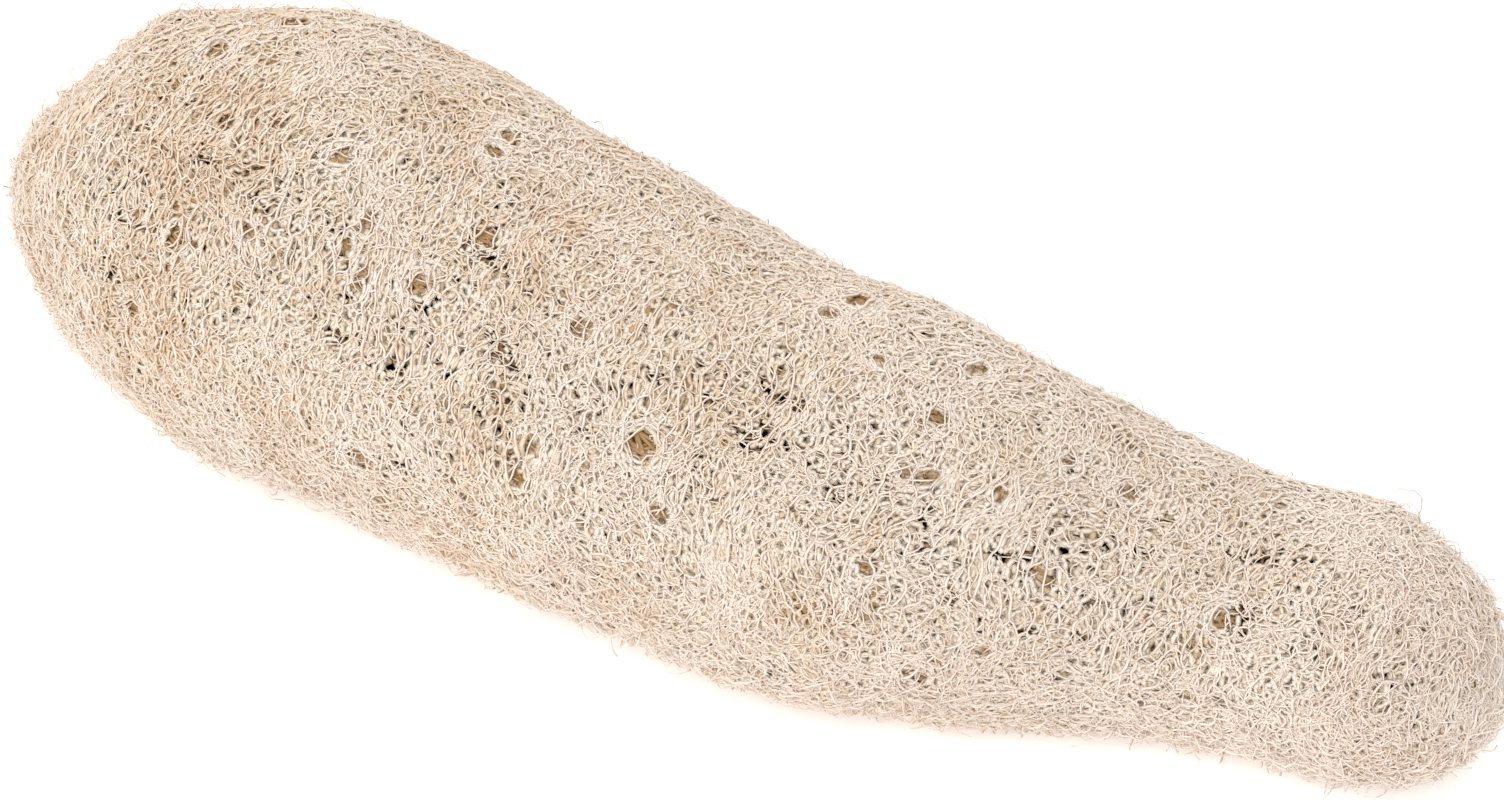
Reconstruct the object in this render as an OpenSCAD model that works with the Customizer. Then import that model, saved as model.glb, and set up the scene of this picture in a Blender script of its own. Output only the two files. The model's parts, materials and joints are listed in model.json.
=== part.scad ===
// Whole dried loofah (luffa gourd) for scrubbing the back, lying on its side along X.
// The thick blossom end points to -X and the narrow stem end to +X; the underside rests on z = 0.
// Three carpels meet at three sutures. From outside in, each carpel has a fine skin net of hoop fibres,
// a thick mat, and a lining of long fibres round its seed channel. Three septa join the sutures to the core.

/* [Body] */
// Length of the fibre body between the two end scars
body_length = 358; // [300:2:400]
// Diameter of the thick blossom end
belly_d = 107; // [95:1:115]
// Diameter at the shoulder, where the body starts to narrow
shoulder_d = 92; // [80:1:94]
// Diameter of the narrow stem end
neck_d = 62; // [54:1:76]
// Sideways bow of the middle
bow = 5.5; // [0:0.5:12]
// Sideways hook of the stem end
hook = 27; // [0:1:34]
// Height of the axis over the surface it rests on, as a share of the radius
seat_height = 0.92; // [0.88:0.01:0.96]
// How far each carpel bulges between its sutures, as a share of the radius
carpel_bulge = 0.012; // [0:0.002:0.03]

/* [Ends] */
// Length of the rounded blossom end
blossom_dome = 84; // [60:1:90]
// Length of the rounded stem end
stem_dome = 38; // [30:1:50]
// How far the scars stand out of the ends
scar_height = 1; // [1:0.5:4]
// Diameter of the blossom scar
blossom_scar_d = 13; // [10:1:16]
// Diameter of the stem scar
stem_scar_d = 15; // [10:1:18]

/* [Layers] */
// Thickness of the skin net, as a share of the radius
net_share = 0.05; // [0.04:0.01:0.07]
// Thickness of the skin net and mat together, as a share of the radius
wall_share = 0.22; // [0.18:0.01:0.28]
// Radius of the core column, as a share of the radius
core_share = 0.25; // [0.2:0.01:0.3]
// Size of a seed channel's hollow against its lining's outside
hollow_share = 0.86; // [0.8:0.01:0.9]

/* [Hidden] */

// Fibre colours
cream = [0.90, 0.84, 0.74];
straw = [0.86, 0.77, 0.62];
tan_brown = [0.62, 0.49, 0.34];

// Angles go round the X axis from +Y towards +Z. Each suture starts a carpel of 120 degrees.
top_suture = 66;
front_suture = 186;
back_suture = 306;
carpel_turn = 120;
rib_half = 5;        // half the angle that a suture rib covers
ring_step = 10;      // angle between the points of a ring
septum_half = 18;    // half the angle that a septum covers on the core

// Places along the length, as shares of it
narrowing = [-0.28, 0.17];      // where belly_d turns into shoulder_d
necking = [0.11, 0.36];         // where shoulder_d turns into neck_d
bowing = [-0.28, 0];            // where the bow comes in
hooking = [0.09, 0.41];         // where the hook comes in

end_x = body_length / 2;
blossom_join_x = -end_x + 28;   // where the blossom end meets the body's layers
stem_join_x = end_x - 18;       // where the stem end meets them
body_stations = 19;
dome_stations = 7;

function clamp01(t) = min(1, max(0, t));
function smooth(t) = let (c = clamp01(t)) c * c * (3 - 2 * c);
function share_of(x, span) = smooth((x / body_length - span[0]) / (span[1] - span[0]));

// Radius of the body if it had no rounded ends
function body_r(x) =
    belly_d / 2
    - (belly_d - shoulder_d) / 2 * share_of(x, narrowing)
    - (shoulder_d - neck_d) / 2 * share_of(x, necking);

// A quarter ellipse, from 0 at the end of a dome to 1 where the dome is full
function dome_share(from_end, depth) =
    from_end >= depth ? 1 : sqrt(max(0, 1 - pow(1 - from_end / depth, 2)));

function skin_r(x) =
    body_r(x) * dome_share(x + end_x, blossom_dome) * dome_share(end_x - x, stem_dome);

function axis_y(x) = hook * share_of(x, hooking) - bow * share_of(x, bowing);
function axis_z(x) = seat_height * body_r(x);
function bulge(angle) = 1 + carpel_bulge * cos(3 * (angle - top_suture - carpel_turn / 2));

// The stations of the body's layers, closer together towards the rounded ends
function stations(x0, x1, count) = [for (i = [0 : count - 1]) let (t = i / (count - 1))
    x0 + (x1 - x0) * (0.4 * t + 0.3 * (1 - cos(180 * t)))];
body_xs = stations(blossom_join_x, stem_join_x, body_stations);

// Angles across one carpel: with its sutures' middles, and between its ribs only
function carpel_angles(suture) = concat([suture], rib_to_rib(suture), [suture + carpel_turn]);
function rib_to_rib(suture) =
    [for (a = [suture + rib_half : ring_step : suture + carpel_turn - rib_half]) a];
ring_angles = [for (suture = [top_suture, front_suture, back_suture])
    for (a = concat([suture], rib_to_rib(suture))) a];

// The skin's side limits, which centre the body on Y = 0
skin_ys = [for (x = body_xs) for (a = ring_angles) axis_y(x) + skin_r(x) * bulge(a) * cos(a)];
centre_y = (max(skin_ys) + min(skin_ys)) / 2;

// A point at station x in the direction angle, r from the axis. The underside is pressed flat by the surface.
function at(x, angle, r) = [
    x,
    axis_y(x) - centre_y + r * bulge(angle) * cos(angle),
    max(max(0, skin_r(x) - r), axis_z(x) + r * bulge(angle) * sin(angle))
];
// The same point from a share p = [y, z] of the skin's radius
function at_share(x, p) = at(x, atan2(p[1], p[0]), norm(p) * skin_r(x));
function polar(angle, share) = share * [cos(angle), sin(angle)];

function reversed(list) = [for (i = [len(list) - 1 : -1 : 0]) list[i]];
function flatten(lists) = [for (list = lists) for (item = list) item];

// An arc band between two shares of the radius, as a closed section
function band(angles, inner, outer) = concat(
    [for (a = angles) polar(a, outer)],
    [for (a = reversed(angles)) polar(a, inner)]
);

// Faces of the wall between rings of m points, whose first point is number start
function wall_faces(rings, m, start, outward) = flatten([
    for (i = [0 : rings - 2]) [
        for (j = [0 : m - 1])
            let (a = start + i * m + j, b = start + i * m + (j + 1) % m, c = b + m, d = a + m)
                each outward ? [[a, c, b], [a, d, c]] : [[a, b, c], [a, c, d]]
    ]
]);
// Faces of the flat ring that closes a pipe's end, between its outer and inner ring
function end_faces(m, outer_start, inner_start, outward) = [
    for (j = [0 : m - 1])
        let (k = (j + 1) % m, a = outer_start + j, b = outer_start + k,
             c = inner_start + k, d = inner_start + j)
            each outward ? [[a, b, c], [a, c, d]] : [[a, c, b], [a, d, c]]
];

// A solid through rings of points; all rings have the same number of points
module solid_sweep(rings) {
    m = len(rings[0]);
    last = (len(rings) - 1) * m;
    polyhedron(
        points = flatten(rings),
        faces = concat(
            wall_faces(len(rings), m, 0, true),
            [[for (j = [0 : m - 1]) j], [for (j = [m - 1 : -1 : 0]) last + j]]
        ),
        convexity = 10
    );
}

// A pipe between outer and inner rings
module pipe_sweep(outer, inner) {
    m = len(outer[0]);
    n = len(outer);
    polyhedron(
        points = concat(flatten(outer), flatten(inner)),
        faces = concat(
            wall_faces(n, m, 0, true),
            wall_faces(n, m, n * m, false),
            end_faces(m, 0, n * m, true),
            end_faces(m, (n - 1) * m, (2 * n - 1) * m, false)
        ),
        convexity = 10
    );
}

// A piece that runs along the body with one section of shares of the radius
module body_piece(section) {
    solid_sweep([for (x = body_xs) [for (p = section) at_share(x, p)]]);
}

// Fine hoop-fibre skin over one carpel
module outer_net(suture) {
    color(cream) body_piece(band(carpel_angles(suture), 1 - net_share, 1));
}

// Thick springy mat under the skin, between two suture ribs
module wall_mat(suture) {
    color(straw) body_piece(band(rib_to_rib(suture), 1 - wall_share, 1 - net_share));
}

// Stiff bundle of long fibres where two carpels meet
module suture_rib(suture) {
    angles = [suture - rib_half, suture, suture + rib_half];
    color(cream) body_piece(band(angles, 1 - wall_share, 1 - net_share));
}

// Web from the core to a suture rib
function septum_side(suture, side) = [
    for (t = [0, 1 / 3, 2 / 3, 1])
        (1 - t) * polar(suture + side * rib_half, 1 - wall_share)
        + t * polar(suture + side * septum_half, core_share)
];
module septum(suture) {
    section = concat(
        [polar(suture, 1 - wall_share)],
        septum_side(suture, -1),
        [polar(suture, core_share)],
        reversed(septum_side(suture, 1))
    );
    color(straw) body_piece(reversed(section));
}

// Angles of the core's outline that face one seed channel
function core_angles(suture) =
    [for (t = [0 : 0.25 : 1]) suture + septum_half + t * (carpel_turn - 2 * septum_half)];

// Three-sided column in the middle, which the septa stand on
module core_column() {
    angles = [for (suture = [top_suture, front_suture, back_suture])
        for (a = concat([suture], core_angles(suture))) a];
    color(straw) body_piece([for (a = angles) polar(a, core_share)]);
}

// Outline of the room between wall, core and two septa
function channel_outline(suture) = concat(
    [for (a = rib_to_rib(suture)) polar(a, 1 - wall_share)],
    [for (i = [1, 2]) septum_side(suture + carpel_turn, -1)[i]],
    [for (a = reversed(core_angles(suture))) polar(a, core_share)],
    [for (i = [2, 1]) septum_side(suture, 1)[i]]
);

// Lining of long fibres round one seed channel
module channel_lining(suture) {
    outline = channel_outline(suture);
    middle = polar(suture + carpel_turn / 2, (1 - wall_share + core_share) / 2);
    hollow = [for (p = outline) middle + hollow_share * (p - middle)];
    color(tan_brown) pipe_sweep(
        [for (x = body_xs) [for (p = outline) at_share(x, p)]],
        [for (x = body_xs) [for (p = hollow) at_share(x, p)]]
    );
}

// Stations and radii of a rounded end, from its scar to the body's layers
// scar_r is the scar's radius, and side is -1 at the blossom end and +1 at the stem end
function scar_x(side, depth, scar_r) =
    let (full = body_r(side * end_x))
        side * (end_x - depth * (1 - sqrt(1 - pow(scar_r / full, 2))));
function dome_xs(side, depth, scar_r, join_x) =
    let (start = scar_x(side, depth, scar_r))
        [for (i = [0 : dome_stations - 1])
            join_x + (start - join_x) * cos(90 * i / (dome_stations - 1))];
function dome_ring(x, r) = [for (a = ring_angles) at(x, a, r)];
// The inside of the end's net: the outside drawn in towards the join
function inner_x(x, join_x) = join_x + (x - join_x) * (1 - 2 * net_share);

function outer_rings(xs) = [for (x = xs) dome_ring(x, skin_r(x))];
function inner_rings(xs, join_x) =
    [for (x = xs) dome_ring(inner_x(x, join_x), skin_r(x) * (1 - net_share))];

// Rings run towards +X in every sweep
function along_x(side, rings) = side < 0 ? rings : reversed(rings);

// Skin net over a rounded end, open at the scar
module end_net(side, depth, scar_r, join_x) {
    xs = dome_xs(side, depth, scar_r, join_x);
    color(cream) pipe_sweep(along_x(side, outer_rings(xs)), along_x(side, inner_rings(xs, join_x)));
}

// Solid mat that closes the channels inside a rounded end
module end_mat(side, depth, scar_r, join_x) {
    xs = dome_xs(side, depth, scar_r, join_x);
    color(straw) solid_sweep(along_x(side, inner_rings(xs, join_x)));
}

// Knot of fibres that fills the hole in an end's net and stands a little proud of it
module scar_knot(side, depth, scar_r, join_x) {
    start = scar_x(side, depth, scar_r);
    root = inner_x(start, join_x);
    root_r = skin_r(start) * (1 - net_share);
    tip = side * (end_x + scar_height);
    profile = concat(
        [[root, root_r], [start, skin_r(start)]],
        [for (a = [20, 40, 60, 80]) [start + (tip - start) * sin(a), skin_r(start) * cos(a)]],
        [[tip, skin_r(start) * 0.08]]
    );
    rings = [for (p = profile) [for (a = ring_angles)
        at(start, a, p[1]) + [p[0] - start, 0, 0]]];
    color(tan_brown) solid_sweep(side > 0 ? rings : reversed(rings));
}

outer_net(top_suture);  // outer_net_front
outer_net(front_suture);  // outer_net_under
outer_net(back_suture);  // outer_net_back
wall_mat(top_suture);  // wall_mat_front
wall_mat(front_suture);  // wall_mat_under
wall_mat(back_suture);  // wall_mat_back
channel_lining(top_suture);  // channel_lining_front
channel_lining(front_suture);  // channel_lining_under
channel_lining(back_suture);  // channel_lining_back
suture_rib(front_suture);  // suture_rib_front
suture_rib(back_suture);  // suture_rib_back
suture_rib(top_suture);  // suture_rib_top
septum(front_suture);  // septum_front
septum(back_suture);  // septum_back
septum(top_suture);  // septum_top
core_column();
end_net(-1, blossom_dome, blossom_scar_d / 2, blossom_join_x);  // blossom_end_net
end_mat(-1, blossom_dome, blossom_scar_d / 2, blossom_join_x);  // blossom_end_mat
scar_knot(-1, blossom_dome, blossom_scar_d / 2, blossom_join_x);  // blossom_scar_knot
end_net(1, stem_dome, stem_scar_d / 2, stem_join_x);  // stem_end_net
end_mat(1, stem_dome, stem_scar_d / 2, stem_join_x);  // stem_end_mat
scar_knot(1, stem_dome, stem_scar_d / 2, stem_join_x);  // stem_scar_knot
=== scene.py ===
"""Whole dried loofah: an open sponge of plant fibres, built fibre by fibre round the CAD frame.

The skin of the CAD model is sampled once into a table over two coordinates, w along the body and
theta round it. Nets are grown in those coordinates, smoothed into strands and swept as fine tubes.
"""

import json
import math

import bpy
import numpy as np
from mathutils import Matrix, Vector
from mathutils.bvhtree import BVHTree
from mathutils.geometry import delaunay_2d_cdt

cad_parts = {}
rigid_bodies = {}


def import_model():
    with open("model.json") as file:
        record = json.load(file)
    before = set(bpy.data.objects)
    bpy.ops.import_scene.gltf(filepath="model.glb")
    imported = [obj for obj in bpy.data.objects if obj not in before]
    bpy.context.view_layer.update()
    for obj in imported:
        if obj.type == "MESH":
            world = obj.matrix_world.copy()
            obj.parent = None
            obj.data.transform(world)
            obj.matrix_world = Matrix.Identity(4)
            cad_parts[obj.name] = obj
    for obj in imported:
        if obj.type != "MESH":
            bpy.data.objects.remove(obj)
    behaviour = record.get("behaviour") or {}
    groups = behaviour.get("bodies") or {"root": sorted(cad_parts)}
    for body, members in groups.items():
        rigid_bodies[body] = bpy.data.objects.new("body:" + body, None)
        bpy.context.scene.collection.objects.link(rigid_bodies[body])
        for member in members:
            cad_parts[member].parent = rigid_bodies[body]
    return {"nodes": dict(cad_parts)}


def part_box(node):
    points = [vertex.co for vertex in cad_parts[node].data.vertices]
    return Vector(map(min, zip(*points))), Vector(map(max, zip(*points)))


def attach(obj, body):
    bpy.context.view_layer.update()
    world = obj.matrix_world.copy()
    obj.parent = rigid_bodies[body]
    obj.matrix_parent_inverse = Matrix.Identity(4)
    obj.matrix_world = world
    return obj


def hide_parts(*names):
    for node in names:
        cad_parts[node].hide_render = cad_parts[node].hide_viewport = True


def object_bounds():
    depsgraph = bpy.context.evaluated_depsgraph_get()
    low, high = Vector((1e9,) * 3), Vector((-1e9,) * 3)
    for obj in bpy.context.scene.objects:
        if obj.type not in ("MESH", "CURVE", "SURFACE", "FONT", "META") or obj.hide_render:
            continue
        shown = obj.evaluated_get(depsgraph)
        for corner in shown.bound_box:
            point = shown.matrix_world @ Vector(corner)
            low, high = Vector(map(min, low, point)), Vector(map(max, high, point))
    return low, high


for left in list(bpy.data.objects):
    bpy.data.objects.remove(left)
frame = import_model()
cad_low, cad_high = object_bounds()

MM = 0.001
TAU = 2 * math.pi
SUTURES = {"top": 66, "front": 186, "back": 306}
TOP_SUTURE = math.radians(SUTURES["top"])
CARPEL_TURN = 120

# The name of the map that a bake looks for. A bake then uses this layout, by place on the body, and
# doesn't unwrap the pieces itself.
UV_MAP = "OFBake"


# ---------------------------------------------------------------- camera, light and stage
VIEW_AZIMUTH, VIEW_ELEVATION = math.radians(28), math.radians(50)
VIEW_DISTANCE = 1.7
VIEW_TARGET = Vector((-0.0004, 0.0124, 0.0400))   # the middle of the picture on the body
VIEW_LENS = 183.3   # mm, which makes the body fill the frame's width
FLOOR_GLOW = 0.25   # a little light of the floor's own, which keeps the background white under the body


def look(obj, place, target):
    obj.location = place
    obj.rotation_mode = "QUATERNION"
    obj.rotation_quaternion = (Vector(target) - Vector(place)).to_track_quat("-Z", "Y")


def add_camera():
    data = bpy.data.cameras.new("camera")
    cam = bpy.data.objects.new("camera", data)
    bpy.context.scene.collection.objects.link(cam)
    az, el = VIEW_AZIMUTH, VIEW_ELEVATION
    back = Vector((math.sin(az) * math.cos(el), -math.cos(az) * math.cos(el), math.sin(el)))
    look(cam, VIEW_TARGET + back * VIEW_DISTANCE, VIEW_TARGET)
    data.sensor_width = 36
    data.lens = VIEW_LENS
    data.clip_start, data.clip_end = 0.05, 20
    bpy.context.scene.camera = cam
    return cam


def add_area(name, place, target, size, power, colour=(1, 1, 1)):
    data = bpy.data.lights.new(name, "AREA")
    data.shape, data.size, data.energy, data.color = "DISK", size, power, colour
    lamp = bpy.data.objects.new(name, data)
    bpy.context.scene.collection.objects.link(lamp)
    look(lamp, place, target)


def add_stage():
    bpy.ops.mesh.primitive_plane_add(size=12, location=(0, 0, 0))
    floor = bpy.context.object
    floor.name = "floor"
    mat = bpy.data.materials.new("floor")
    mat.use_nodes = True
    bsdf = mat.node_tree.nodes["Principled BSDF"]
    bsdf.inputs["Base Color"].default_value = (0.98, 0.98, 0.98, 1)
    bsdf.inputs["Roughness"].default_value = 0.9
    bsdf.inputs["Specular IOR Level"].default_value = 0.1
    bsdf.inputs["Emission Color"].default_value = (1, 1, 1, 1)
    bsdf.inputs["Emission Strength"].default_value = FLOOR_GLOW
    floor.data.materials.append(mat)
    world = bpy.data.worlds.new("studio")
    bpy.context.scene.world = world
    world.use_nodes = True
    world.node_tree.nodes["Background"].inputs["Color"].default_value = (1, 1, 1, 1)
    world.node_tree.nodes["Background"].inputs["Strength"].default_value = 0.62


# ---------------------------------------------------------------- the skin as a table
SKIN = [n for n in frame["nodes"] if n.startswith("outer_net") or n.endswith(("end_net", "knot"))]


def skin_tree():
    points, faces = [], []
    for name in SKIN:
        mesh = frame["nodes"][name].data
        first = len(points)
        points += [v.co.copy() for v in mesh.vertices]
        faces += [[first + i for i in p.vertices] for p in mesh.polygons]
    return BVHTree.FromPolygons(points, faces)


def centre_line():
    """x, centre y and centre z at the body's stations."""
    co = np.concatenate([
        np.array([v.co for v in frame["nodes"][n].data.vertices])
        for n in SKIN if n.startswith("outer_net")])
    rows = []
    for x in np.unique(np.round(co[:, 0], 5)):
        ring = co[np.abs(co[:, 0] - x) < 2e-5]
        y0, y1, top = ring[:, 1].min(), ring[:, 1].max(), ring[:, 2].max()
        rows.append((x, (y0 + y1) / 2, top - (y1 - y0) / 2))
    return np.array(rows).T


def blur(a, axis, wrap, times=1):
    for _ in range(times):
        if wrap:
            a = 0.25 * np.roll(a, 1, axis) + 0.5 * a + 0.25 * np.roll(a, -1, axis)
        else:
            pad = np.concatenate([a[:1], a, a[-1:]], 0)
            a = 0.25 * pad[:-2] + 0.5 * pad[1:-1] + 0.25 * pad[2:]
    return a


class Skin:
    """The object's outer surface over (w, theta). dw is a step along the body as a share of the radius,
    so a net that is even in w and theta is even on the surface, right down to the two tips."""

    TURNS = 144
    STEPS = 900

    def __init__(self):
        tree = skin_tree()
        cx, cy, cz = centre_line()
        lo, hi = float(cad_low[0]), float(cad_high[0])
        t = np.linspace(0, math.pi, 700)[1:-1]
        xs = (lo + hi) / 2 - (hi - lo) / 2 * (0.55 * np.cos(t) + 0.45 * (1 - 2 * t / math.pi))
        xs = xs[(xs > lo + 0.00002) & (xs < hi - 0.00002)]
        ys, zs = np.interp(xs, cx, cy), np.interp(xs, cx, cz)
        angles = np.arange(self.TURNS) * TAU / self.TURNS
        out = np.zeros((len(xs), self.TURNS))
        for i, (x, y, z) in enumerate(zip(xs, ys, zs)):
            for j, a in enumerate(angles):
                way = Vector((0, math.cos(a), math.sin(a)))
                hit = tree.ray_cast(Vector((x, y, z)) + way * 0.2, -way, 0.3)[3]
                out[i, j] = 0.2 - hit if hit is not None else np.nan
        bad = np.isnan(out)
        if bad.any():
            out[bad] = np.nanmin(out)
        out = blur(out, 1, True, 3)
        r = out.mean(1)
        ds = np.hypot(np.diff(xs), np.diff(r))
        w = np.concatenate([[0], np.cumsum(ds / ((r[1:] + r[:-1]) / 2))])
        self.w0, self.w1 = 0.0, float(w[-1])
        grid = np.linspace(self.w0, self.w1, self.STEPS)
        self.dw = grid[1] - grid[0]
        self.x = np.interp(grid, w, xs)
        self.r = np.interp(grid, w, r)
        self.cy, self.cz = np.interp(grid, w, ys), np.interp(grid, w, zs)
        radius = np.stack([np.interp(grid, w, out[:, j]) for j in range(self.TURNS)], 1)
        radius = blur(radius, 0, False, 6)
        self.grid = grid
        self.place = np.stack([
            np.repeat(self.x[:, None], self.TURNS, 1),
            self.cy[:, None] + radius * np.cos(angles),
            self.cz[:, None] + radius * np.sin(angles)], 2)
        along = np.gradient(self.place, axis=0)
        around = np.roll(self.place, -1, 1) - np.roll(self.place, 1, 1)
        normal = np.cross(around, along)
        normal /= np.linalg.norm(normal, axis=2, keepdims=True) + 1e-12
        out_way = np.stack([np.zeros_like(radius), np.cos(angles) + 0 * radius,
                            np.sin(angles) + 0 * radius], 2)
        sign = np.sign((normal * out_way).sum(2).mean())
        self.normal = normal * sign

    def radius(self, w):
        return np.interp(w, self.grid, self.r)

    def at_x(self, x):
        return float(np.interp(x, self.x, self.grid))

    def _mix(self, table, w, theta):
        i = np.clip((w - self.w0) / self.dw, 0, self.STEPS - 1.001)
        j = (theta / TAU * self.TURNS) % self.TURNS
        i0, j0 = i.astype(int), j.astype(int) % self.TURNS
        fi, fj = (i - i0)[:, None], (j - np.floor(j))[:, None]
        j1 = (j0 + 1) % self.TURNS
        return ((1 - fi) * ((1 - fj) * table[i0, j0] + fj * table[i0, j1])
                + fi * ((1 - fj) * table[i0 + 1, j0] + fj * table[i0 + 1, j1]))

    def at(self, w, theta, depth=0.0):
        n = self._mix(self.normal, w, theta)
        n /= np.linalg.norm(n, axis=1, keepdims=True)
        depth = np.broadcast_to(np.asarray(depth, float), w.shape)
        return self._mix(self.place, w, theta) - n * depth[:, None], n


def waves(seed, size, count=24):
    """Smooth noise over space, about -1 to 1, with features about as big as size."""
    rng = np.random.default_rng(seed)
    way = rng.normal(size=(count, 3))
    way *= (TAU / size) * rng.uniform(0.5, 1.2, (count, 1)) / np.linalg.norm(way, axis=1, keepdims=True)
    phase = rng.uniform(0, TAU, count)
    return lambda p: np.sin(p @ way.T + phase).sum(1) / math.sqrt(count)


skin = Skin()
LUMPS = waves(3, 0.034)
OCHRE = waves(61, 0.012)


SUNK = 0.85 * MM   # the middle of the outermost fibres lies this far inside the CAD skin
HALF_LENGTH = float(cad_high[0] - cad_low[0]) / 2


def swell(share, turn, size, height):
    """A broad lump or hollow of the body. share runs from -1 at the thick end to 1 at the thin end, turn
    is in degrees, and size and height are in mm."""
    w = np.array([skin.at_x(share * HALF_LENGTH)])
    return skin.at(w, np.array([math.radians(turn)]))[0][0], size * MM, height * MM


SWELLS = [
    swell(-0.95, 75, 22, -6),     # the thick end's slanted shoulder
    swell(-0.85, 60, 8, 2),       # the blunt corner over the shoulder
    swell(-0.35, 60, 30, -1),     # a slightly flat back behind it
    swell(0.2, 35, 30, 1),        # a full back edge at the middle
    swell(0.98, 60, 11, -3.5),    # the thin end's worn upper side
    swell(0.95, 180, 14, 3),      # and its full lower one
    swell(-0.6, 210, 30, 1.5),    # a full lower edge at the thick end
    swell(0.4, 200, 25, -2),      # and a hollow one towards the thin end
]


def place(w, theta, depth=0.0):
    """Points at a depth under the skin, with its broad natural lumps, and the outward normals."""
    p, n = skin.at(w, theta, depth + SUNK)
    lift = 0.7 * MM * LUMPS(p) * np.clip(skin.radius(w) / 0.03, 0, 1)
    for spot, size, height in SWELLS:
        lift = lift + height * np.exp(-(((p - spot) ** 2).sum(1) / size**2))
    return p + n * lift[:, None], n


# ---------------------------------------------------------------- nets
DRIFTS = [(0.026, 1.9 * MM), (0.011, 0.75 * MM)]   # wavelength and reach of the flow's wandering
WRAP = 1.2               # how far, in radians, a net is repeated past its seam before it is joined up
ROW_STEP = 0.866         # spacing of rows of evenly packed cells, as a share of their width
LONGEST_LINK = 12 * MM
FLOOR_GAP = 0.00005      # no fibre goes lower over the floor than this


def drift(w, theta):
    """Moves points in the skin so that a net gets dense and thin places and its strands meander."""
    for k, (size, reach) in enumerate(DRIFTS):
        p, _ = place(w, theta)
        step = reach / np.maximum(skin.radius(w), 0.006) * np.clip(skin.radius(w) / 0.03, 0, 1)
        w = w + step * waves(71 + k, size)(p)
        theta = theta + step * waves(81 + k, size)(p)
    return w, theta


def open_pits(w, theta, share):
    """Pushes points away from the pits, which leaves a hole crossed by a few spokes."""
    for x, turn, size in PITS:
        wc, tc = skin.at_x(x * MM), math.radians(turn)
        r = skin.radius(w)
        dw, dt = (w - wc) * r, np.angle(np.exp(1j * (theta - tc))) * r
        away = np.hypot(dw, dt) + 1e-6
        push = share * size * MM * np.exp(-((away / (1.5 * size * MM)) ** 2))
        w, theta = w + push * dw / away / r, theta + push * dt / away / r
    return w, theta


def net(seed, around, along, jitter=0.42, tip_radius=1.5 * MM, pits=0.0):
    """A closed net of cells about (around x along) metres over the whole skin. It returns its knots'
    w and theta, and its links as pairs of knots."""
    rng = np.random.default_rng(seed)
    ratio = around / along
    fine = np.linspace(skin.w0, skin.w1, 4000)
    r = skin.radius(fine)
    local = 1 + (ratio - 1) * np.clip((r - 0.018) / 0.022, 0, 1)
    side = around * (local / ratio) ** 0.5
    p = np.concatenate([[0], np.cumsum((local[1:] + local[:-1]) / 2 * np.diff(fine))])
    inside = r > tip_radius
    at, last, rows = p[inside].min(), p[inside].max(), []
    while at < last:
        w = np.interp(at, p, fine)
        step = np.interp(w, fine, side) / np.interp(w, fine, r)
        count = max(5, round(TAU / step))
        q = (np.arange(count) + rng.random() + rng.uniform(-jitter, jitter, count)) * TAU / count
        rows.append(np.stack([at + rng.uniform(-jitter, jitter, count) * step * 0.9, q % TAU], 1))
        at += step * ROW_STEP
    pts = np.concatenate(rows)
    count = len(pts)
    low_id, high_id = np.nonzero(pts[:, 1] < WRAP)[0], np.nonzero(pts[:, 1] > TAU - WRAP)[0]
    every = np.concatenate([pts, pts[low_id] + [0, TAU], pts[high_id] - [0, TAU]])
    ids = np.concatenate([np.arange(count), low_id, high_id])
    result = delaunay_2d_cdt([Vector(v) for v in every.tolist()], [], [], 0, 1e-9)
    tri = np.array([t for t in result[2] if len(t) == 3])
    origin = np.array([o[0] if o else -1 for o in result[3]])
    corners = every[origin[tri]]
    middle = corners.mean(1)
    span = np.linalg.norm(corners - np.roll(corners, 1, 1), axis=2).max(1)
    keep = (middle[:, 1] >= 0) & (middle[:, 1] < TAU) & (span < 1.5)
    tri, middle = ids[origin[tri]][keep], middle[keep]
    # Two triangles that share a side are linked
    sides = np.concatenate([tri[:, [0, 1]], tri[:, [1, 2]], tri[:, [2, 0]]])
    sides.sort(axis=1)
    key = sides[:, 0].astype(np.int64) * count + sides[:, 1]
    owner = np.tile(np.arange(len(tri)), 3)
    order = np.argsort(key, kind="stable")
    key, owner = key[order], owner[order]
    same = np.nonzero(key[1:] == key[:-1])[0]
    links = np.stack([owner[same], owner[same + 1]], 1)
    links = links[links[:, 0] != links[:, 1]]
    w, theta = drift(np.interp(middle[:, 0], p, fine), middle[:, 1])
    if pits:
        w, theta = open_pits(w, theta, pits)
    return np.clip(w, skin.w0, skin.w1), theta % TAU, links


def unit(v):
    return v / np.maximum(np.linalg.norm(v, axis=-1, keepdims=True), 1e-12)


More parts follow.
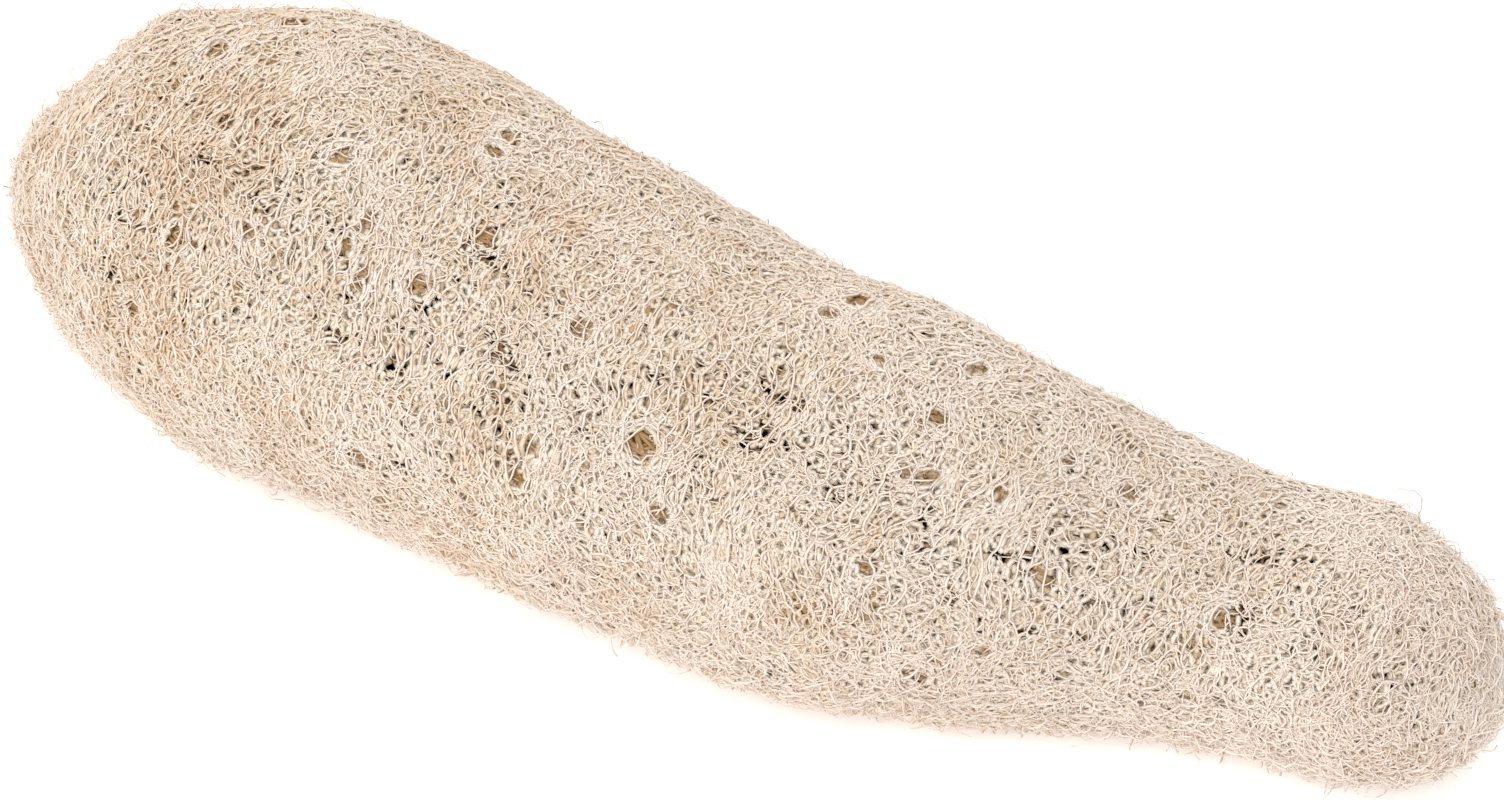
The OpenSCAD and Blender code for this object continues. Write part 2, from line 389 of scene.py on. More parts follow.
def strands(seed, w, theta, links, depth, merge, bow, lift, curl, points, drop):
    """Curved fibres along the links. At each knot the two links that run on best form one smooth strand
    and the third joins it at a slant. It returns each fibre's centre points c, normal n, middle w and t,
    length and knots."""
    rng = np.random.default_rng(seed)
    p, n = place(w, theta, depth)
    m = len(w)
    ends = np.concatenate([links[:, 0], links[:, 1]])
    other = np.concatenate([links[:, 1], links[:, 0]])
    way = unit(p[other] - p[ends])
    order = np.argsort(ends, kind="stable")
    first = np.searchsorted(ends[order], np.arange(m))
    count = np.bincount(ends, minlength=m)
    slots = np.full((m, 3), -1)
    for k in range(3):
        has = count > k
        slots[has, k] = order[first[has] + k]
    full = count == 3
    d = np.zeros((m, 3, 3))
    for k in range(3):
        ok = slots[:, k] >= 0
        d[ok, k] = way[slots[ok, k]]
    dots = np.stack([(d[:, 1] * d[:, 2]).sum(1), (d[:, 0] * d[:, 2]).sum(1), (d[:, 0] * d[:, 1]).sum(1)], 1)
    odd = dots.argmin(1)                      # the slot that joins from the side
    rows = np.arange(m)
    a, b = (odd + 1) % 3, (odd + 2) % 3
    along = unit(d[rows, a] - d[rows, b])
    out = way.copy()                          # tangent with which each link's end leaves its knot
    f = np.nonzero(full)[0]
    out[slots[f, a[f]]] = along[f]
    out[slots[f, b[f]]] = -along[f]
    dk = d[f, odd[f]]
    sign = np.sign((dk * along[f]).sum(1, keepdims=True)) + 1e-9
    out[slots[f, odd[f]]] = unit(dk + merge * sign * along[f])
    k = len(links)
    p0, p1 = p[links[:, 0]], p[links[:, 1]]
    t0, t1 = out[:k], -out[k:]
    length = np.linalg.norm(p1 - p0, axis=1)
    nn = unit(n[links[:, 0]] + n[links[:, 1]])
    across = np.cross(nn, unit(p1 - p0))
    s = np.linspace(0, 1, points)[None, :, None]
    h00, h10 = 2 * s**3 - 3 * s**2 + 1, s**3 - 2 * s**2 + s
    h01, h11 = -2 * s**3 + 3 * s**2, s**3 - s**2
    size = length[:, None, None]
    c = (h00 * p0[:, None] + h10 * size * t0[:, None] + h01 * p1[:, None] + h11 * size * t1[:, None])
    hump = np.sin(np.pi * s)
    snake = np.sin(2 * np.pi * s) * rng.normal(0, curl, (k, 1, 1)) if curl else 0.0
    c = c + size * ((hump * rng.normal(0, bow, (k, 1, 1)) + snake) * across[:, None]
                    + hump * rng.normal(0, lift, (k, 1, 1)) * nn[:, None])
    mid_w = (w[links[:, 0]] + w[links[:, 1]]) / 2
    t_a, t_b = theta[links[:, 0]], theta[links[:, 1]]
    mid_t = (t_a + np.angle(np.exp(1j * (t_b - t_a))) / 2) % TAU
    keep = length < LONGEST_LINK
    if drop:
        keep &= rng.random(k) > drop
    return {"c": c[keep], "n": nn[keep], "w": mid_w[keep], "t": mid_t[keep], "len": length[keep],
            "link": links[keep]}


def picked(fibres, keep):
    return {k: v[keep] for k, v in fibres.items()}


# ---------------------------------------------------------------- tubes and pieces
def tube_mesh(c, n, radius, sides, flat=1.0):
    """Vertices, quads and end faces of closed tubes round rows of centre points. A flat over 1 makes them
    wider than they are thick."""
    m, k, _ = c.shape
    t = np.empty_like(c)
    t[:, 1:-1] = c[:, 2:] - c[:, :-2]
    t[:, 0], t[:, -1] = c[:, 1] - c[:, 0], c[:, -1] - c[:, -2]
    t = unit(t)
    side = unit(np.cross(t, n[:, None]))
    up = np.cross(side, t)
    if np.ndim(radius) == 1:
        radius = np.repeat(radius[:, None], k, 1)
    ang = np.arange(sides) * TAU / sides
    ring = (np.cos(ang)[None, None, :, None] * up[:, :, None] / flat
            + np.sin(ang)[None, None, :, None] * side[:, :, None] * flat)
    v = c[:, :, None] + ring * radius[:, :, None, None]
    v = v.reshape(-1, 3)
    base = (np.arange(m) * k * sides)[:, None, None]
    i, j = np.arange(k - 1)[:, None], np.arange(sides)[None, :]
    j2 = (j + 1) % sides
    quad = np.stack([i * sides + j, i * sides + j2, (i + 1) * sides + j2, (i + 1) * sides + j], 2)
    quads = (base[..., None] + quad[None]).reshape(-1, 4)
    first = np.arange(m)[:, None] * k * sides + np.arange(sides)[::-1][None, :]
    last = np.arange(m)[:, None] * k * sides + (k - 1) * sides + np.arange(sides)[None, :]
    return v, quads, np.concatenate([first, last])


def tones(c, pale, deep):
    """One tone for each row of centre points: its own chance, deeper towards the blossom end, under a pit
    and in the ochre patches, and paler in the matted rim of a pit. The deeper tone under a pit is partly
    painted shade of its hollow. pale and deep say how much this layer takes of each."""
    middle = c[:, c.shape[1] // 2]
    out = np.random.default_rng(len(c)).normal(0, 0.06, len(c)) - 0.7 * middle[:, 0]
    out += deep * 0.30 * np.clip(OCHRE(middle) - 0.3, 0, 1.2)
    for x, turn, size in PITS:
        w = np.array([skin.at_x(x * MM)])
        centre = place(w, np.array([math.radians(turn)]))[0][0]
        away = np.linalg.norm(middle - centre, axis=1) / (size * MM)
        # Deeper under a pit: partly the mat's own ochre, partly painted shade of the pit's hollow
        out += deep * 0.5 * np.exp(-((away / 1.25) ** 2)) - pale * 0.3 * np.exp(-(((away - 2.0) / 0.6) ** 2))
    return out


def flat_map(c, v):
    """Where each point lies in its own fibre's unrolled piece of skin: its turn and its place along."""
    m, k, _ = c.shape
    each = len(v) // m
    fibre = np.repeat(np.arange(m), each)

    def turned(p):
        y = p[:, 1] - np.interp(p[:, 0], skin.x, skin.cy)
        z = p[:, 2] - np.interp(p[:, 0], skin.x, skin.cz)
        return np.arctan2(z, y)

    middle = turned(c[:, k // 2])[fibre]
    turn = middle + np.angle(np.exp(1j * (turned(v) - middle)))
    return np.stack([turn, np.interp(v[:, 0], skin.x, skin.grid)], 1)


def add_piece(name, tubes, nodes, material, pale=0.0, deep=0.0):
    """One mesh object of many tubes: a list of (centres, normals, radius, sides, flatness)."""
    vs, loops, sizes, shades, maps, n = [], [], [], [], [], 0
    for c, nn, radius, sides, flat in tubes:
        if not len(c):
            continue
        v, quads, caps = tube_mesh(c, nn, radius, sides, flat)
        vs.append(v)
        loops += [(quads + n).ravel(), (caps + n).ravel()]
        sizes += [np.full(len(quads), 4), np.full(len(caps), sides)]
        shades.append(np.repeat(tones(c, pale, deep), len(v) // len(c)))
        maps.append(flat_map(c, v))
        n += len(v)
    v = np.concatenate(vs)
    v[:, 2] = np.maximum(v[:, 2], FLOOR_GAP)
    loops, sizes = np.concatenate(loops).astype(np.int32), np.concatenate(sizes).astype(np.int32)
    mesh = bpy.data.meshes.new(name)
    mesh.vertices.add(len(v))
    mesh.vertices.foreach_set("co", v.astype(np.float32).ravel())
    mesh.loops.add(len(loops))
    mesh.loops.foreach_set("vertex_index", loops)
    mesh.polygons.add(len(sizes))
    starts = np.concatenate([[0], np.cumsum(sizes)[:-1]]).astype(np.int32)
    mesh.polygons.foreach_set("loop_start", starts)
    mesh.polygons.foreach_set("loop_total", sizes)
    mesh.polygons.foreach_set("use_smooth", np.ones(len(sizes), bool))
    mesh.update(calc_edges=True)
    tone = mesh.attributes.new("tone", "FLOAT", "POINT")
    tone.data.foreach_set("value", np.concatenate(shades).astype(np.float32))
    uv = np.concatenate(maps)
    uv = 0.01 + 0.98 * (uv - uv.min(0)) / np.ptp(uv, axis=0)
    layer = mesh.uv_layers.new(name=UV_MAP)
    layer.data.foreach_set("uv", uv[loops].astype(np.float32).ravel())
    mesh.materials.append(material)
    obj = bpy.data.objects.new(name, mesh)
    bpy.context.scene.collection.objects.link(obj)
    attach(obj, "root")
    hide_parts(*nodes)
    return obj


# ---------------------------------------------------------------- materials
def srgb(*c):
    return tuple(((x / 255) / 12.92 if x <= 10 else ((x / 255 + 0.055) / 1.055) ** 2.4) for x in c) + (1,)


def fibre_material(name, pale, mid, deep, roughness=0.62):
    """Dry plant fibre. Its colour runs from pale to deep by each fibre's tone, which under the pits is
    partly painted shade, by broad patches and by fine specks; the specks also change its roughness, and a
    finer noise gives it a dry, rough surface."""
    mat = bpy.data.materials.new(name)
    mat.use_nodes = True
    nodes, link = mat.node_tree.nodes, mat.node_tree.links.new
    bsdf = nodes["Principled BSDF"]
    coords = nodes.new("ShaderNodeTexCoord")

    def noise(scale, detail):
        node = nodes.new("ShaderNodeTexNoise")
        node.inputs["Scale"].default_value = scale
        node.inputs["Detail"].default_value = detail
        link(coords.outputs["Object"], node.inputs["Vector"])
        return node.outputs["Fac"]

    def times_plus(a, factor, b):
        node = nodes.new("ShaderNodeMath")
        node.operation = "MULTIPLY_ADD"
        link(a, node.inputs[0])
        node.inputs[1].default_value = factor
        if isinstance(b, float):
            node.inputs[2].default_value = b
        else:
            link(b, node.inputs[2])
        return node.outputs[0]

    patches, specks, grit = noise(38, 3), noise(420, 2), noise(2600, 2)
    tone = nodes.new("ShaderNodeAttribute")
    tone.attribute_name = "tone"
    shade = times_plus(patches, 0.6, times_plus(specks, 0.6, tone.outputs["Fac"]))
    ramp = nodes.new("ShaderNodeValToRGB")
    ramp.color_ramp.elements[0].position, ramp.color_ramp.elements[0].color = 0.42, srgb(*pale)
    ramp.color_ramp.elements[1].position, ramp.color_ramp.elements[1].color = 0.95, srgb(*deep)
    middle = ramp.color_ramp.elements.new(0.64)
    middle.color = srgb(*mid)
    link(shade, ramp.inputs["Fac"])
    link(ramp.outputs["Color"], bsdf.inputs["Base Color"])
    link(times_plus(specks, 0.3, roughness - 0.15), bsdf.inputs["Roughness"])
    bump = nodes.new("ShaderNodeBump")
    bump.inputs["Strength"].default_value = 0.35
    bump.inputs["Distance"].default_value = 0.00004
    link(grit, bump.inputs["Height"])
    link(bump.outputs["Normal"], bsdf.inputs["Normal"])
    bsdf.inputs["Specular IOR Level"].default_value = 0.3
    bsdf.inputs["Subsurface Weight"].default_value = 0.25
    bsdf.inputs["Subsurface Radius"].default_value = (1.0, 0.8, 0.6)
    bsdf.inputs["Subsurface Scale"].default_value = 0.0006
    return mat


SKIN_MAT = fibre_material("skin_fibre", (250, 236, 224), (247, 231, 217), (236, 208, 180))
FINE_MAT = fibre_material("fine_fibre", (247, 232, 217), (242, 224, 204), (224, 194, 160))
MAT_MAT = fibre_material("mat_fibre", (238, 219, 197), (228, 206, 180), (178, 142, 98))
# Inner fibres of the lining, septa and core: their dark brown is painted shade of the hollow inside, seen
# through the windows
INNER_SHADE_MAT = fibre_material("inner_fibre", (216, 180, 140), (186, 146, 106), (146, 106, 72))
SCAR_MAT = fibre_material("scar_fibre", (251, 239, 224), (247, 231, 214), (232, 206, 176))


# ---------------------------------------------------------------- where fibres belong
BLOSSOM_W = skin.at_x(float(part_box("outer_net_front")[0][0]))
STEM_W = skin.at_x(float(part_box("outer_net_front")[1][0]))
REGIONS = ("front", "under", "back", "blossom_end", "stem_end")
MAX_TRIANGLES = 190_000


def region(w, theta):
    """The number of each point's region in REGIONS."""
    turn = ((theta - TOP_SUTURE) % TAU) / (TAU / 3)
    out = np.clip(turn.astype(int), 0, 2)
    out[w < BLOSSOM_W] = 3
    out[w > STEM_W] = 4
    return out


def add_layer(title, fibres, radius, nodes, material, sides=3, flat=1.0, pale=0.0, deep=0.0):
    """Shares a layer's fibres among the regions, and splits what is too big for one piece along the body."""
    where = region(fibres["w"], fibres["t"])
    each = (fibres["c"].shape[1] - 1) * sides * 2 + 2 * (sides - 2)
    for r, node in enumerate(nodes):
        ids = np.nonzero(where == r)[0]
        if not len(ids):
            continue
        ids = ids[np.argsort(fibres["w"][ids], kind="stable")]
        parts = max(1, math.ceil(len(ids) * each / MAX_TRIANGLES))
        for k, some in enumerate(np.array_split(ids, parts)):
            name = f"{title}_{REGIONS[r]}" + (f"_{k + 1}" if parts > 1 else "")
            tubes = [(fibres["c"][some], fibres["n"][some], radius[some], sides, flat)]
            add_piece(name, tubes, [node], material, pale, deep)


def thickness(seed, fibres, low, high, flow):
    """A radius for each fibre: thicker along the flow than across it."""
    rng = np.random.default_rng(seed)
    d = unit(fibres["c"][:, -1] - fibres["c"][:, 0])
    share = 1 - d[:, 0] ** 2 if flow == "around" else d[:, 0] ** 2
    r = low + (high - low) * np.clip(share, 0, 1) ** 1.5
    return r * rng.uniform(0.78, 1.22, len(r)) * 0.5


NETS = ["outer_net_front", "outer_net_under", "outer_net_back", "blossom_end_net", "stem_end_net"]
MATS = ["wall_mat_front", "wall_mat_under", "wall_mat_back", "blossom_end_mat", "stem_end_mat"]
LININGS = ["channel_lining_front", "channel_lining_under", "channel_lining_back", "blossom_end_mat",
           "stem_end_mat"]


# Each seed channel lies under the middle of a carpel
CARPEL_MIDDLES = [degrees + CARPEL_TURN / 2 for degrees in SUTURES.values()]
FIRST_SPOT, LAST_SPOT = -0.75 * HALF_LENGTH / MM, 0.83 * HALF_LENGTH / MM


def spots(seed, count, turns, low, high):
    """Rows of (mm along, degrees round, size in mm). turns(rng) draws a row's direction."""
    rng = np.random.default_rng(seed)
    return [(rng.uniform(FIRST_SPOT, LAST_SPOT), turns(rng), low + (high - low) * rng.random() ** 2)
            for _ in range(count)]


def over_channels(rng):
    return rng.choice(CARPEL_MIDDLES) + rng.normal(0, 22)


def anywhere(rng):
    return rng.uniform(0, 360)


# Windows are where the wall over a seed channel is thin and dark shows through.
# Pits are openings in the skin that show the mat, in a deeper ochre that is partly its own colour and partly
# painted shade of the hollow.
WINDOWS = spots(21, 120, over_channels, 2, 5) + spots(23, 150, over_channels, 1.2, 2.2)
LARGEST_PIT = (0, 135, 3.2)
PITS = [LARGEST_PIT] + spots(31, 130, anywhere, 1.2, 2.6)


def windows(w, theta):
    """How open the wall is, 0 to 1: each window is a cluster of small gaps, longer along the body."""
    p, _ = place(w, theta)
    r = skin.radius(w)
    x = np.interp(w, skin.grid, skin.x)
    near = np.zeros(len(w))
    for at, turn, size in WINDOWS:
        off = np.angle(np.exp(1j * (theta - math.radians(turn)))) * r
        near += np.exp(-(((x - at * MM) / (1.25 * size * MM)) ** 2 + (off / (0.85 * size * MM)) ** 2))
    cluster = np.clip((near + 0.25 * waves(12, 0.005)(p) - 0.4) / 0.25, 0, 1)
    thin = np.zeros(len(w))
    for middle in CARPEL_MIDDLES:
        thin += np.exp(-((np.angle(np.exp(1j * (theta - math.radians(middle)))) / 0.42) ** 2))
    return np.maximum(cluster, 0.28 * thin * (0.6 + 0.4 * waves(14, 0.02)(p)))


def in_pits(w, theta):
    """How far inside a pit each point lies, 0 to 1."""
    r = skin.radius(w)
    x = np.interp(w, skin.grid, skin.x)
    out = np.zeros(len(w))
    for at, turn, size in PITS:
        off = np.angle(np.exp(1j * (theta - math.radians(turn)))) * r
        out = np.maximum(out, np.clip(3 - 2.5 * np.hypot(x - at * MM, off) / (size * MM), 0, 1))
    return out


def grow(seed, cell, depth, points, jitter=0.45, bow=0.1, lift=0.08, curl=0.0, drop=0.0, merge=0.8,
         pits=0.0, tip=1.5, opened=0.0, holed=0.0):
    """One layer of net. cell is (around, along), and depth its (least, most) under the skin, in mm."""
    rng = np.random.default_rng(seed + 1000)
    w, theta, links = net(seed, cell[0] * MM, cell[1] * MM, jitter, tip * MM, pits)
    depth = rng.uniform(depth[0], depth[1], len(w)) * MM
    fibres = strands(seed, w, theta, links, depth, merge, bow, lift, curl, points, drop)
    gone = opened * windows(fibres["w"], fibres["t"]) + holed * in_pits(fibres["w"], fibres["t"])
    return picked(fibres, rng.random(len(fibres["w"])) > gone)


def runs(seed, count, points, spot):
    """Free fibres. spot(rng, s) gives w, theta and depth for fibres at steps s from 0 to 1."""
    rng = np.random.default_rng(seed)
    s = np.linspace(0, 1, points)
    w, theta, depth = spot(rng, count, s)
    p, n = place(w.ravel(), theta.ravel(), depth.ravel())
    return {"c": p.reshape(count, points, 3), "n": n.reshape(count, points, 3)[:, points // 2],
            "w": w[:, points // 2], "t": theta[:, points // 2] % TAU}


def smooth_walk(rng, count, points, reach, turns=3):
    """Random smooth paths about 0, for wandering fibres."""
    s = np.linspace(0, 1, points)[None, :]
    out = np.zeros((count, points))
    for k in range(1, turns + 1):
        out += rng.normal(0, reach / k, (count, 1)) * np.sin(TAU * k * s + rng.uniform(0, TAU, (count, 1)))
    return out


def radii(seed, fibres, low, high):
    return np.random.default_rng(seed).uniform(low, high, len(fibres["c"])) * MM


def is_combed(w, theta):
    """Where the bold strands run long and round the body, 1, and where they make open cells, 0."""
    p, _ = place(w, theta)
    return 0.5 + 0.34 * np.cos(theta - math.radians(80)) + 0.14 * waves(15, 0.03)(p)


def runners(seed, count):
    """Long wavy single strands over the net, most of them round the body."""
    def spot(rng, m, s):
        w = rng.uniform(skin.w0, skin.w1, (m, 1))
        r = skin.radius(w)
        reach = rng.uniform(5, 15, (m, 1)) * MM / np.maximum(r, 0.008)
        slant = rng.normal(0, 0.28, (m, 1))
        wave = smooth_walk(rng, m, len(s), 0.5) * MM / np.maximum(r, 0.008)
        theta = rng.uniform(0, TAU, (m, 1)) + reach * (s[None, :] - 0.5)
        w = w + slant * reach * (s[None, :] - 0.5) + wave
        flat_w, flat_t = drift(w.ravel(), theta.ravel())
        depth = rng.uniform(-0.1, 0.5, (m, 1)) + smooth_walk(rng, m, len(s), 0.15)
        return np.clip(flat_w, skin.w0, skin.w1).reshape(w.shape), flat_t.reshape(w.shape), depth * MM
    return runs(seed, count, 10, spot)


def pit_floors(seed, each=26):
    """Flat ochre bundles side by side that close the bottom of every pit; their deep ochre is partly the
    mat's own colour and partly painted shade of the pit.
    """
    def spot(rng, m, s):
        rows = np.repeat(np.array(PITS), each, 0)
        w0 = np.interp(rows[:, 0] * MM, skin.x, skin.grid)[:, None]
        r, size = skin.radius(w0), rows[:, 2:3] * MM * 1.5
        turn, off = rng.normal(0.2, 0.5, (m, 1)), rng.uniform(-1, 1, (m, 1))
        along = (s[None, :] - 0.5) * 2 * np.sqrt(1.05 - off**2)
        dw = size * (along * np.cos(turn) - off * np.sin(turn)) / r
        dt = size * (along * np.sin(turn) + off * np.cos(turn)) / r
        return w0 + dw, np.radians(rows[:, 1:2]) + dt, rng.uniform(1.1, 1.6, (m, 1)) * MM + 0 * dw
    return runs(seed, len(PITS) * each, 3, spot)


LOWER_EDGE = math.radians(211)   # the direction of the edge that faces down in the picture


def fuzz(seed, count):
    """Loose ends and loops that stand off the skin, most at the ends and low on the front."""
    rng = np.random.default_rng(seed)
    w = rng.uniform(skin.w0, skin.w1, count * 14)
    theta = rng.uniform(0, TAU, count * 14)
    r = skin.radius(w)
    x = np.interp(w, skin.grid, skin.x)
    low = np.exp(-((np.angle(np.exp(1j * (theta - LOWER_EDGE))) / 0.62) ** 2))
    ends = np.clip((np.abs(x) - 0.135) / 0.03, 0, 1)
    weight = (r / 0.055) ** 1.5 * (0.08 + 1.4 * low + 0.8 * ends)
    keep = np.nonzero(rng.random(len(w)) < weight * 0.8)[0][:count]
    w, theta = w[keep], theta[keep]
    m = len(w)
    p, n = place(w, theta, 0.0004)
    ahead, _ = place(w, theta + 0.02, 0.0004)
    t = unit(ahead - p)
    b = np.cross(n, t)
    turn = rng.uniform(0, TAU, m)
    way = np.cos(turn)[:, None] * t + np.sin(turn)[:, None] * b
    length = rng.gamma(3.0, 0.7, m) * MM + 1.2 * MM
    rise = rng.uniform(0.05, 0.55, m)
    s = np.linspace(0, 1, 5)
    bend = rng.normal(0, 0.55, m)
    side = np.cross(n, way)
    arch = np.sin(np.pi * s * rng.choice([0.5, 0.8, 1.0], m)[:, None])
    c = (p[:, None] + (length[:, None] * s)[..., None] * way[:, None]
         + (length * rise)[:, None, None] * arch[..., None] * n[:, None]
         + (length * bend)[:, None, None] * (s**2)[None, :, None] * side[:, None])
    return {"c": c, "n": n, "w": w, "t": theta}


add_camera()
add_stage()
view = bpy.context.scene.view_settings
view.view_transform = "Standard"
add_area("key", (0.35, -1.6, 2.3), (0, 0, 0.03), 1.4, 38.5)
add_area("fill", (-1.6, -0.9, 1.6), (0, 0, 0.03), 1.6, 9)
add_area("back", (-0.3, 1.8, 1.6), (0, 0, 0.03), 1.6, 14)
bpy.context.scene.cycles.diffuse_bounces = 14   # light gets deep into a net this way

# The skin: bold strands, long and round the body on top and in open cells lower down, with loose wavy
# runners over them, on two fine irregular nets
combed = grow(101, (7.4, 3.6), (-0.15, 0.15), 6, jitter=0.55, bow=0.09, lift=0.05, curl=0.04,
              drop=0.05, merge=1.3, pits=0.8)
combed = picked(combed, is_combed(combed["w"], combed["t"]) > 0.42)
add_layer("skin_combed", combed, thickness(1, combed, 0.52 * MM, 0.74 * MM, "around"), NETS,
          SKIN_MAT)
cells = grow(107, (4.8, 4.2), (-0.15, 0.15), 5, jitter=0.55, bow=0.10, lift=0.06, curl=0.04,
             drop=0.05, merge=1.1, pits=0.8)
cells = picked(cells, is_combed(cells["w"], cells["t"]) < 0.58)
add_layer("skin_cells", cells, thickness(9, cells, 0.56 * MM, 0.72 * MM, "around"), NETS,
          SKIN_MAT)
over = runners(108, 1000)
add_layer("skin_runners", over, radii(109, over, 0.22, 0.30), NETS, SKIN_MAT)
fine = grow(102, (3.8, 2.8), (0.1, 0.35), 4, jitter=0.5, bow=0.12, lift=0.08, drop=0.06, merge=1.2, pits=0.9,
            opened=0.35, holed=0.7)
add_layer("skin_fine", fine, thickness(2, fine, 0.40 * MM, 0.52 * MM, "around"), NETS, FINE_MAT,
          flat=1.2, pale=1.0)
under = grow(106, (2.4, 1.9), (0.3, 0.55), 3, jitter=0.5, bow=0.1, lift=0.05, drop=0.05, pits=0.9,
             opened=0.65, holed=1.0)
add_layer("skin_under", under, thickness(6, under, 0.56 * MM, 0.70 * MM, "around"), NETS,
          FINE_MAT, flat=2.4, pale=1.0, deep=0.4)

# The mat: long fibres, then flat bundles and a felt under them that are left out over the windows, and
# the floors of the pits
long = grow(103, (1.9, 5.5), (0.4, 0.9), 3, bow=0.07, lift=0.05, drop=0.08, holed=0.8)
add_layer("mat_long", long, thickness(3, long, 0.36 * MM, 0.50 * MM, "along"), MATS, FINE_MAT,
          pale=0.5, deep=0.3)
mat = grow(104, (2.6, 2.1), (0.5, 0.8), 2, lift=0.04, tip=2.5, opened=1.6, holed=1.0)
add_layer("mat_flat", mat, thickness(4, mat, 0.64 * MM, 0.80 * MM, "around"), MATS, MAT_MAT,
          flat=3.0, deep=1.0)
felt = grow(112, (2.4, 2.0), (0.9, 1.5), 2, lift=0.04, tip=3, opened=1.6)
add_layer("mat_felt", felt, thickness(10, felt, 0.66 * MM, 0.82 * MM, "around"), MATS, MAT_MAT,
          flat=2.4, deep=0.7)
floors = pit_floors(110)
add_layer("pit_floors", floors, radii(111, floors, 0.3, 0.4), MATS, MAT_MAT, flat=1.8, deep=1.0)

# The lining of the seed channels, in the dark brown inner fibre: it closes the windows, and its colour is
# painted shade of the hollow channels behind them
lining = grow(105, (2.6, 4.6), (1.8, 2.8), 2, tip=6)
add_layer("lining", lining, thickness(5, lining, 0.85 * MM, 1.05 * MM, "along"), LININGS,
          INNER_SHADE_MAT, flat=1.8, deep=1.0)

# Loose ends
loose = fuzz(7, 15000)
size = np.random.default_rng(8).uniform(0.14, 0.23, len(loose["w"])) * MM
add_layer("loose_ends", loose, size, NETS, SKIN_MAT)


# ---------------------------------------------------------------- ribs, septa and core
def body_w(rng, count, s, share):
    """w for fibres that each run over a share of the body's length."""
    x0, x1 = float(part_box("core_column")[0][0]), float(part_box("core_column")[1][0])
    start = rng.uniform(x0, x1 - (x1 - x0) * share, (count, 1))
    return np.interp(start + (x1 - x0) * share * s[None, :], skin.x, skin.grid)


def add_inner(name, parts, nodes, material):
    add_piece(name, [(f["c"], f["n"], r, 3, 1.0) for f, r in parts], nodes, material)


def long_run(seed, count, turn, half, near, far, share=0.45, points=18):
    """Fibres along the body near one direction, at depths as shares of the radius."""
    def spot(rng, m, s):
        w = body_w(rng, m, s, share)
        theta = turn + rng.uniform(-half, half, (m, 1)) + smooth_walk(rng, m, points, half * 0.3)
        depth = skin.radius(w) * (rng.uniform(near, far, (m, 1)) + smooth_walk(rng, m, points, 0.012))
        return w, theta, np.maximum(depth, 0.0012)
    return runs(seed, count, points, spot)


def web_run(seed, count, turn, half, near, far, points=7):
    """Fibres from the wall in towards the core near one direction."""
    def spot(rng, m, s):
        w = body_w(rng, m, s * 0 + 0.0, 0.0) + smooth_walk(rng, m, points, 0.08, 2)
        theta = turn + rng.uniform(-half, half, (m, 1)) + smooth_walk(rng, m, points, half * 0.5, 2)
        depth = skin.radius(w) * (near + (far - near) * s[None, :])
        return w, theta, depth
    return runs(seed, count, points, spot)


# The septa and core are in the dark brown inner fibre too, painted shade of the hollow inside
for k, (side_name, degrees) in enumerate(SUTURES.items()):
    turn = math.radians(degrees)
    rib = long_run(200 + k, 240, turn, math.radians(6), 0.05, 0.2)
    add_inner(f"suture_rib_{side_name}_fibres", [(rib, radii(210 + k, rib, 0.2, 0.34))],
              [f"suture_rib_{side_name}"], MAT_MAT)
    web = web_run(220 + k, 1100, turn, math.radians(7), 0.2, 0.72)
    lengthwise = long_run(230 + k, 160, turn, math.radians(6), 0.2, 0.72)
    add_inner(f"septum_{side_name}_fibres",
              [(web, radii(240 + k, web, 0.3, 0.45)), (lengthwise, radii(250 + k, lengthwise, 0.3, 0.5))],
              [f"septum_{side_name}"], INNER_SHADE_MAT)

column = long_run(260, 420, 0.0, math.pi, 0.74, 0.98)
spokes = web_run(261, 900, 0.0, math.pi, 0.74, 0.97)
add_inner("core_fibres", [(column, radii(262, column, 0.5, 0.8)), (spokes, radii(263, spokes, 0.3, 0.5))],
          ["core_column"], INNER_SHADE_MAT)


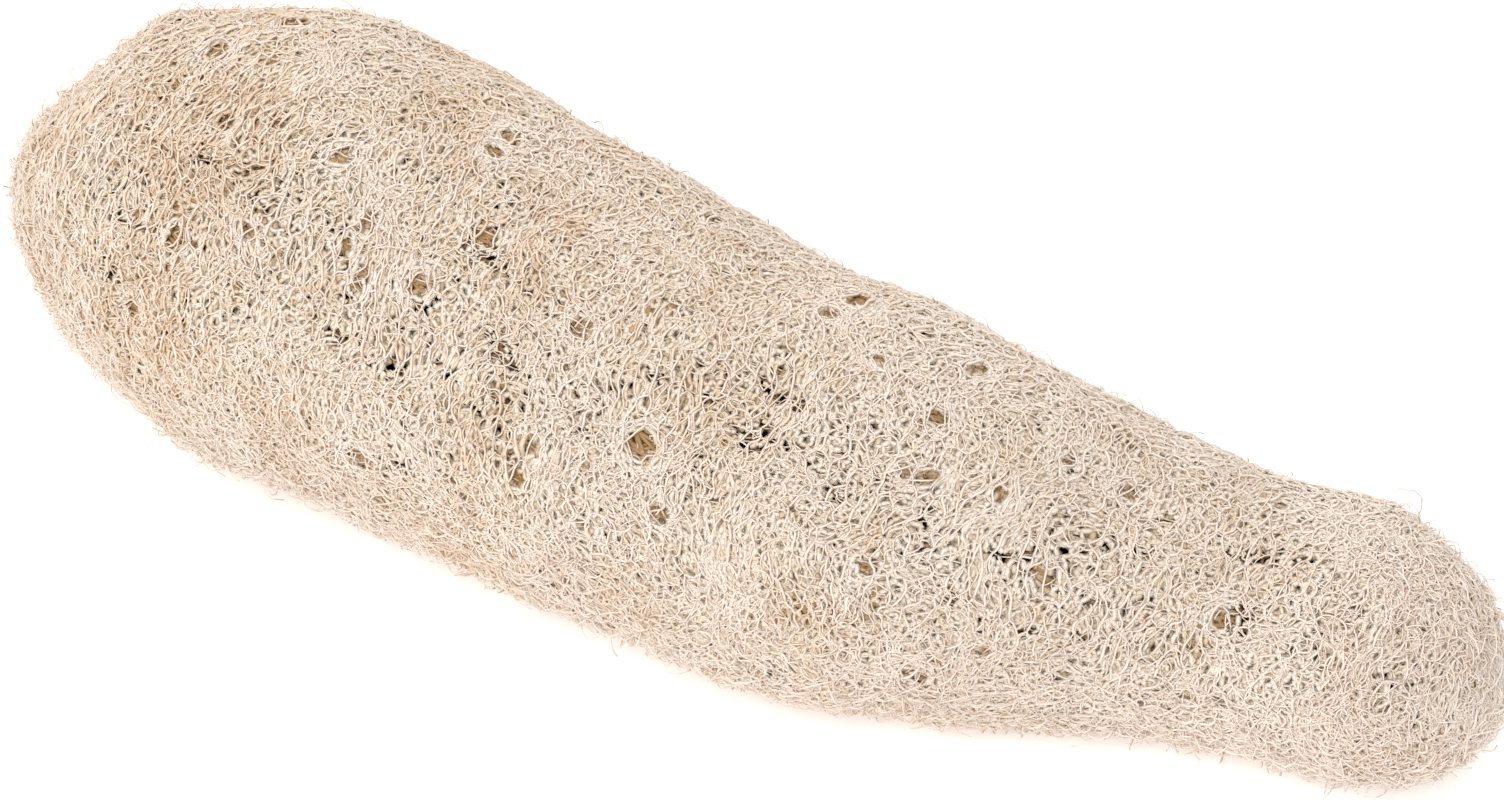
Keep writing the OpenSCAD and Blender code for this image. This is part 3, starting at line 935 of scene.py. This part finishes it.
# ---------------------------------------------------------------- end scars
def whorl(seed, count, end, reach, height):
    """Short fibres that swirl out from a tip over the skin."""
    def spot(rng, m, s):
        r0 = rng.uniform(0.0, 0.6, (m, 1)) * reach
        r = r0 + (reach * rng.uniform(0.2, 0.7, (m, 1))) * s[None, :]
        tip_side = skin.grid < (skin.w0 + skin.w1) / 2 if end < 0 else skin.grid > (skin.w0 + skin.w1) / 2
        rr, ww = skin.r[tip_side], skin.grid[tip_side]
        order = np.argsort(rr)
        w = np.interp(r, rr[order], ww[order])
        theta = rng.uniform(0, TAU, (m, 1)) + rng.normal(0, 0.9, (m, 1)) * s[None, :]
        theta = theta + smooth_walk(rng, m, 6, 0.15)
        depth = -height * rng.uniform(-0.3, 1, (m, 1)) * np.sin(np.pi * (0.15 + 0.8 * s[None, :]))
        return w, theta, depth
    return runs(seed, count, 6, spot)


def tuft(seed, count, end):
    """Short curved fibres across the small opening that the whorl leaves at a tip."""
    rng = np.random.default_rng(seed)
    turns = np.arange(12) / 12 * TAU
    ring, normals = place(np.full(12, skin.w0 if end < 0 else skin.w1), turns)
    centre, out = ring.mean(0), unit(normals.mean(0))
    across = unit(np.cross(out, (0.0, 0.0, 1.0)))
    other = np.cross(out, across)
    radius = np.linalg.norm(ring - centre, axis=1).max() + 1.2 * MM
    s = np.linspace(-1, 1, 5)[None, :] * radius
    turn, off = rng.uniform(0, TAU, (count, 1)), rng.uniform(-0.8, 0.8, (count, 1)) * radius
    a = s * np.cos(turn) - off * np.sin(turn) + smooth_walk(rng, count, 5, 0.15) * MM
    b = s * np.sin(turn) + off * np.cos(turn) + smooth_walk(rng, count, 5, 0.15) * MM
    up = rng.uniform(-0.6, 0.2, (count, 1)) * MM - 0.5 * s**2 / (6 * MM)
    c = centre + a[..., None] * across + b[..., None] * other + up[..., None] * out
    return {"c": c, "n": np.repeat(out[None], count, 0)}


def add_scar(title, swirl, swirl_seed, cap, cap_seed):
    parts = [(swirl, radii(swirl_seed, swirl, 0.18, 0.28)), (cap, radii(cap_seed, cap, 0.2, 0.28))]
    add_inner(f"{title}_scar_fibres", parts, [f"{title}_scar_knot"], SCAR_MAT)


add_scar("blossom", whorl(300, 300, -1, 7.5 * MM, 0.5 * MM), 301, tuft(306, 40, -1), 304)
add_scar("stem", whorl(302, 420, 1, 9 * MM, 0.8 * MM), 303, tuft(307, 40, 1), 305)
